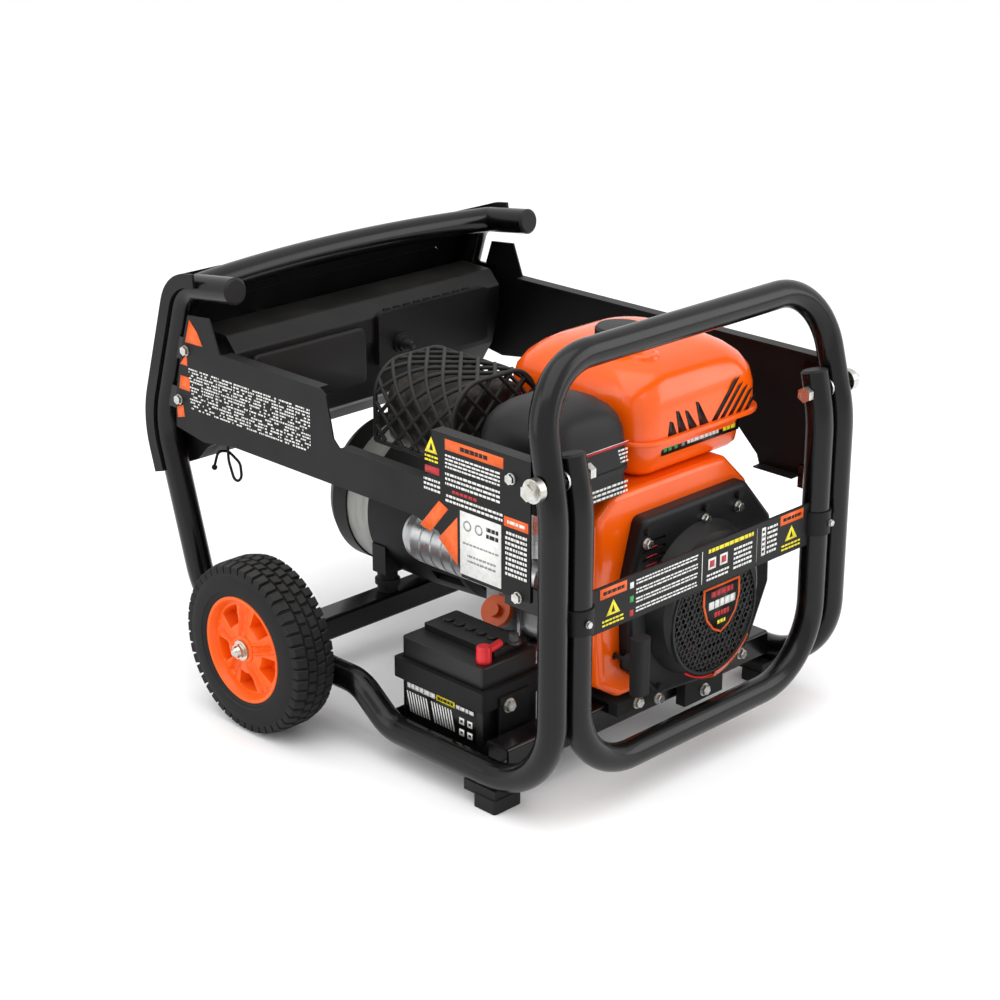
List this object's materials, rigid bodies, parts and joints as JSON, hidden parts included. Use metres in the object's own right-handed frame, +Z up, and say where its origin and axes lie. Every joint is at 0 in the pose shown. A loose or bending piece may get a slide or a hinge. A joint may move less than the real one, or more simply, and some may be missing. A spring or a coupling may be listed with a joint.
{
  "type": "portable generator",
  "caption": "Portable petrol generator in a bent-tube frame on wheels, with an engine and alternator in line, a starting battery, a rear control panel and a rear lift handle.",
  "frame": {"origin": "floor level, under the middle of the overall box", "axes": "+Z up; -Y the recoil-starter end, +Y the wheeled end with the handle and control panel; +X to the right seen from the recoil-starter end"},
  "size_m": [0.6556, 0.6892, 0.5281],
  "materials": {
    "frame_tube": "gloss powder coat",
    "tube_caps": "moulded, fine grain",
    "cross_beam": "gloss powder coat",
    "side_plate": "satin powder coat",
    "label_bar": "satin powder coat",
    "frame_fasteners": "zinc plated",
    "front_feet": "moulded",
    "stub_axles": "turned",
    "hub_nuts": "bright zinc",
    "wheel_rim": "glossy moulding",
    "tyre": "dry rubber",
    "rear_fascia": "satin powder coat",
    "control_box": "satin powder coat",
    "control_panel": "satin powder coat",
    "voltmeter": "polished",
    "sockets": "moulded",
    "socket_lid": "moulded",
    "panel_bezels": "nickel plated",
    "key_switch": "moulded",
    "breaker_button": "moulded",
    "wire_hook": "zinc plated wire",
    "crankcase": "die cast, blasted",
    "cylinder_block": "die cast",
    "spark_plug_cap": "moulded",
    "fan_shroud": "gloss paint",
    "recoil_cover": "satin paint",
    "recoil_pulley": "moulded",
    "starter_grip": "moulded",
    "flywheel": "turned",
    "crankshaft": "ground",
    "fuel_tank": "gloss paint",
    "fuel_cap": "moulded",
    "air_filter_base": "moulded",
    "air_filter_cover": "moulded, fine grain",
    "air_filter_element": "pleated paper",
    "air_filter_nut": "moulded",
    "carburettor": "die cast",
    "choke_lever": "moulded",
    "muffler": "heat marked sheet",
    "muffler_guard": "heat-proof black",
    "dipstick": "moulded",
    "starter_motor": "satin paint",
    "alternator_housing": "die cast",
    "alternator_stator": "stacked laminations",
    "alternator_rear_cover": "satin paint",
    "alternator_rotor": "turned",
    "engine_mounts": "moulded, with steel plates",
    "battery_case": "moulded",
    "battery_terminals": "moulded boot",
    "battery_strap": "satin paint",
    "battery_tray": "satin powder coat"
  },
  "bodies": {
    "frame": {"front_hoop": "frame_tube", "front_u_tube": "frame_tube", "side_rail_left": "frame_tube", "side_rail_right": "frame_tube", "handle_bar": "frame_tube", "tube_caps": "tube_caps", "front_cross_beam": "cross_beam", "rear_cross_beam": "cross_beam", "side_plate_left": "side_plate", "side_plate_right": "side_plate", "label_bar": "label_bar", "frame_fasteners": "frame_fasteners", "front_feet": "front_feet", "stub_axles": "stub_axles", "hub_nuts": "hub_nuts", "rear_fascia": "rear_fascia", "control_box": "control_box", "control_panel": "control_panel", "voltmeter": "voltmeter", "sockets": "sockets", "panel_bezels": "panel_bezels", "wire_hook": "wire_hook", "crankcase": "crankcase", "cylinder_block": "cylinder_block", "spark_plug_cap": "spark_plug_cap", "fan_shroud": "fan_shroud", "recoil_cover": "recoil_cover", "fuel_tank": "fuel_tank", "air_filter_base": "air_filter_base", "air_filter_cover": "air_filter_cover", "air_filter_element": "air_filter_element", "carburettor": "carburettor", "muffler": "muffler", "muffler_guard": "muffler_guard", "starter_motor": "starter_motor", "alternator_housing": "alternator_housing", "alternator_stator": "alternator_stator", "alternator_rear_cover": "alternator_rear_cover", "engine_mounts": "engine_mounts", "battery_case": "battery_case", "battery_terminals": "battery_terminals", "battery_strap": "battery_strap", "battery_tray": "battery_tray"},
    "wheel_left": {"wheel_rim_left": "wheel_rim", "tyre_left": "tyre"},
    "wheel_right": {"wheel_rim_right": "wheel_rim", "tyre_right": "tyre"},
    "crank_rotor": {"crankshaft": "crankshaft", "flywheel": "flywheel", "alternator_rotor": "alternator_rotor"},
    "recoil_reel": {"recoil_pulley": "recoil_pulley"},
    "pull_grip": {"starter_grip": "starter_grip"},
    "tank_cap": {"fuel_cap": "fuel_cap"},
    "filter_nut": {"air_filter_nut": "air_filter_nut"},
    "choke": {"choke_lever": "choke_lever"},
    "oil_dipstick": {"dipstick": "dipstick"},
    "lid_left": {"socket_lid_left": "socket_lid"},
    "lid_right": {"socket_lid_right": "socket_lid"},
    "ignition_key": {"key_switch": "key_switch"},
    "reset_button": {"breaker_button": "breaker_button"}
  },
  "joints": [
    {"name": "wheel_left_turn", "type": "hinge", "parent": "frame", "child": "wheel_left", "pos_m": [-0.287, 0.1005, 0.104], "axis": [1, 0, 0], "continuous": true},
    {"name": "wheel_right_turn", "type": "hinge", "parent": "frame", "child": "wheel_right", "pos_m": [0.287, 0.1005, 0.104], "axis": [1, 0, 0], "continuous": true},
    {"name": "crank_turn", "type": "hinge", "parent": "frame", "child": "crank_rotor", "pos_m": [0.048, -0.0222, 0.178], "axis": [0, 1, 0], "continuous": true},
    {"name": "starter_grip_pull", "type": "slide", "parent": "frame", "child": "pull_grip", "axis": [0, -1, 0], "range_m": [0, 0.085], "stiffness_N_per_m": 120, "springref_m": -0.03},
    {"name": "recoil_reel_turn", "type": "hinge", "parent": "frame", "child": "recoil_reel", "pos_m": [0.048, -0.2772, 0.178], "axis": [0, 1, 0], "range_deg": [0, 110]},
    {"name": "tank_cap_turn", "type": "hinge", "parent": "frame", "child": "tank_cap", "pos_m": [0.024, -0.1722, 0.47], "axis": [0, 0, 1], "range_deg": [0, 90]},
    {"name": "filter_nut_turn", "type": "hinge", "parent": "frame", "child": "filter_nut", "pos_m": [-0.12, -0.2072, 0.442], "axis": [0, 0, 1], "range_deg": [0, 360]},
    {"name": "choke_turn", "type": "hinge", "parent": "frame", "child": "choke", "pos_m": [-0.152, -0.1842, 0.302], "axis": [1, 0, 0], "range_deg": [-35, 35]},
    {"name": "dipstick_turn", "type": "hinge", "parent": "frame", "child": "oil_dipstick", "pos_m": [-0.038, -0.0602, 0.11], "axis": [-0.8184, -0.1996, 0.5389], "range_deg": [0, 360]},
    {"name": "lid_left_swing", "type": "hinge", "parent": "frame", "child": "lid_left", "pos_m": [0.128, 0.32244, 0.42549], "axis": [1, 0, 0], "range_deg": [0, 100], "stiffness_Nm_per_rad": 0.02, "springref_deg": -28.65},
    {"name": "lid_right_swing", "type": "hinge", "parent": "frame", "child": "lid_right", "pos_m": [0.052, 0.32244, 0.42549], "axis": [1, 0, 0], "range_deg": [0, 100], "stiffness_Nm_per_rad": 0.02, "springref_deg": -28.65},
    {"name": "key_turn", "type": "hinge", "parent": "frame", "child": "ignition_key", "pos_m": [-0.092, 0.32168, 0.41474], "axis": [0, 0.9524, 0.3048], "range_deg": [-90, 0]},
    {"name": "reset_button_press", "type": "slide", "parent": "frame", "child": "reset_button", "axis": [0, -0.9524, -0.3048], "range_m": [0, 0.003], "stiffness_N_per_m": 300, "springref_m": -0.002}
  ],
  "couplings": [
    {"joint": "recoil_reel_turn", "follows": "starter_grip_pull", "rad_per_m": 20}
  ]
}
